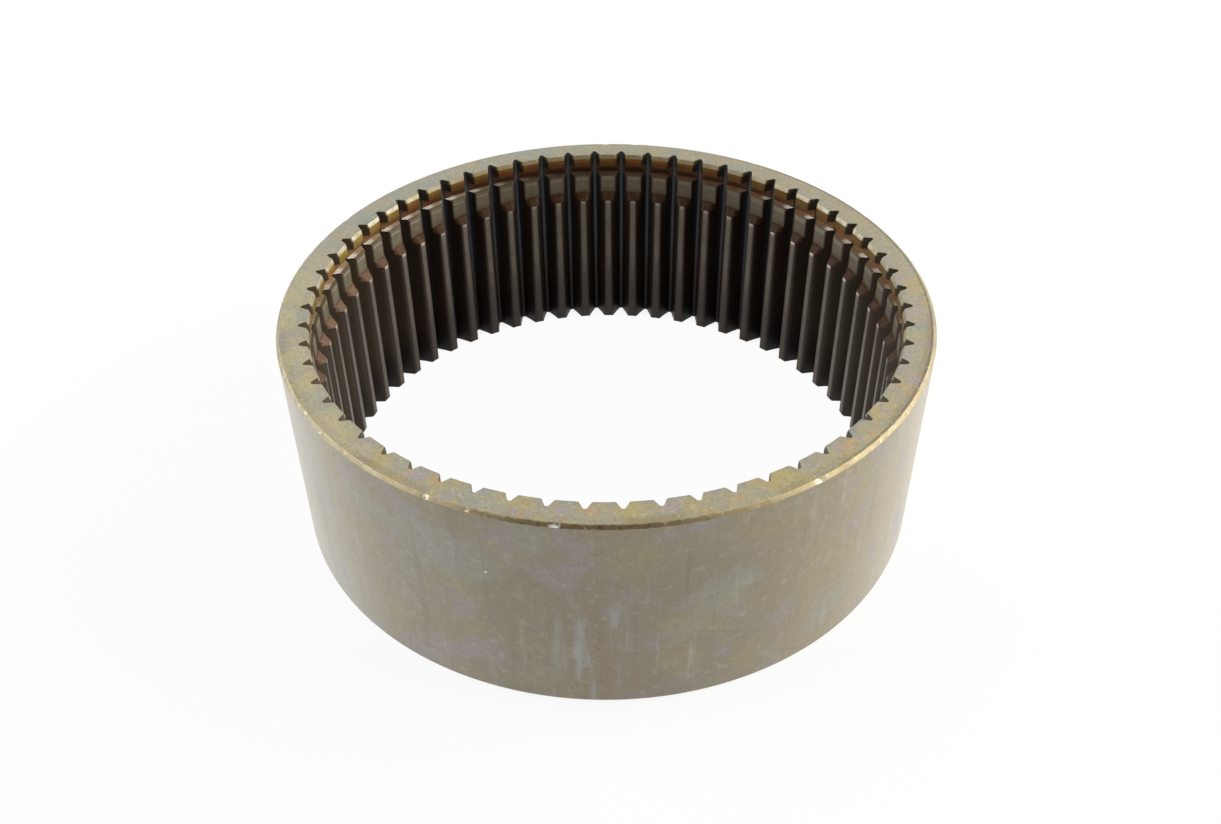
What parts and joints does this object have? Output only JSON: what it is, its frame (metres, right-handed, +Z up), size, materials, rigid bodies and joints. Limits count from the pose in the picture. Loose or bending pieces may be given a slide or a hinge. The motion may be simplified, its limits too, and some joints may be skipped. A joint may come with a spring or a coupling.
{
  "type": "internal ring gear",
  "caption": "Steel ring gear with straight internal teeth and a plain outer wall; a turned seat with a snap-ring groove at its upper end.",
  "frame": {"origin": "centre of the lower end face, the one away from the seat and its snap-ring groove", "axes": "+Z up along the ring's axis, towards the seat; +X through the middle of a tooth space"},
  "size_m": [0.2, 0.2, 0.0694],
  "materials": {
    "gear_steel": "turned and hardened steel, satin, with heat tint and an oil film; dark in the tooth spaces"
  },
  "bodies": {
    "root": {"ring_gear": "gear_steel"}
  },
  "joints": []
}
